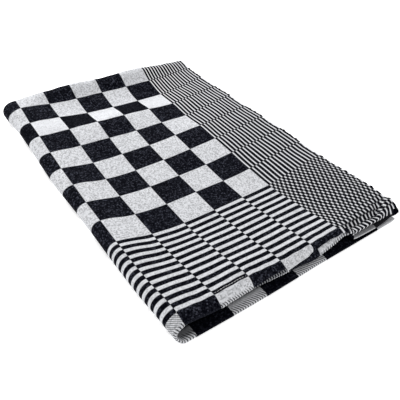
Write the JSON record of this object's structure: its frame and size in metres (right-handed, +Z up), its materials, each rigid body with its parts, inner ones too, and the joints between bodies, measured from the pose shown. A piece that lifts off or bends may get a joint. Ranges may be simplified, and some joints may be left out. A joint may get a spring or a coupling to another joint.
{
  "type": "tea towel",
  "caption": "Checked cotton tea towel, folded in quarters and lying flat, with fine and broad striped borders, turned hems and woven selvages.",
  "frame": {"origin": "centre of the bounding box, on the table that the folded towel lies on", "axes": "+X from the soft left fold to the selvages at the right, +Y from the open hem edges at the front to the folds at the back, +Z up"},
  "size_m": [0.2328, 0.3588, 0.024],
  "materials": {
    "checked_cotton": "matte woven"
  },
  "bodies": {
    "root": {"towel": "checked_cotton"}
  },
  "joints": []
}
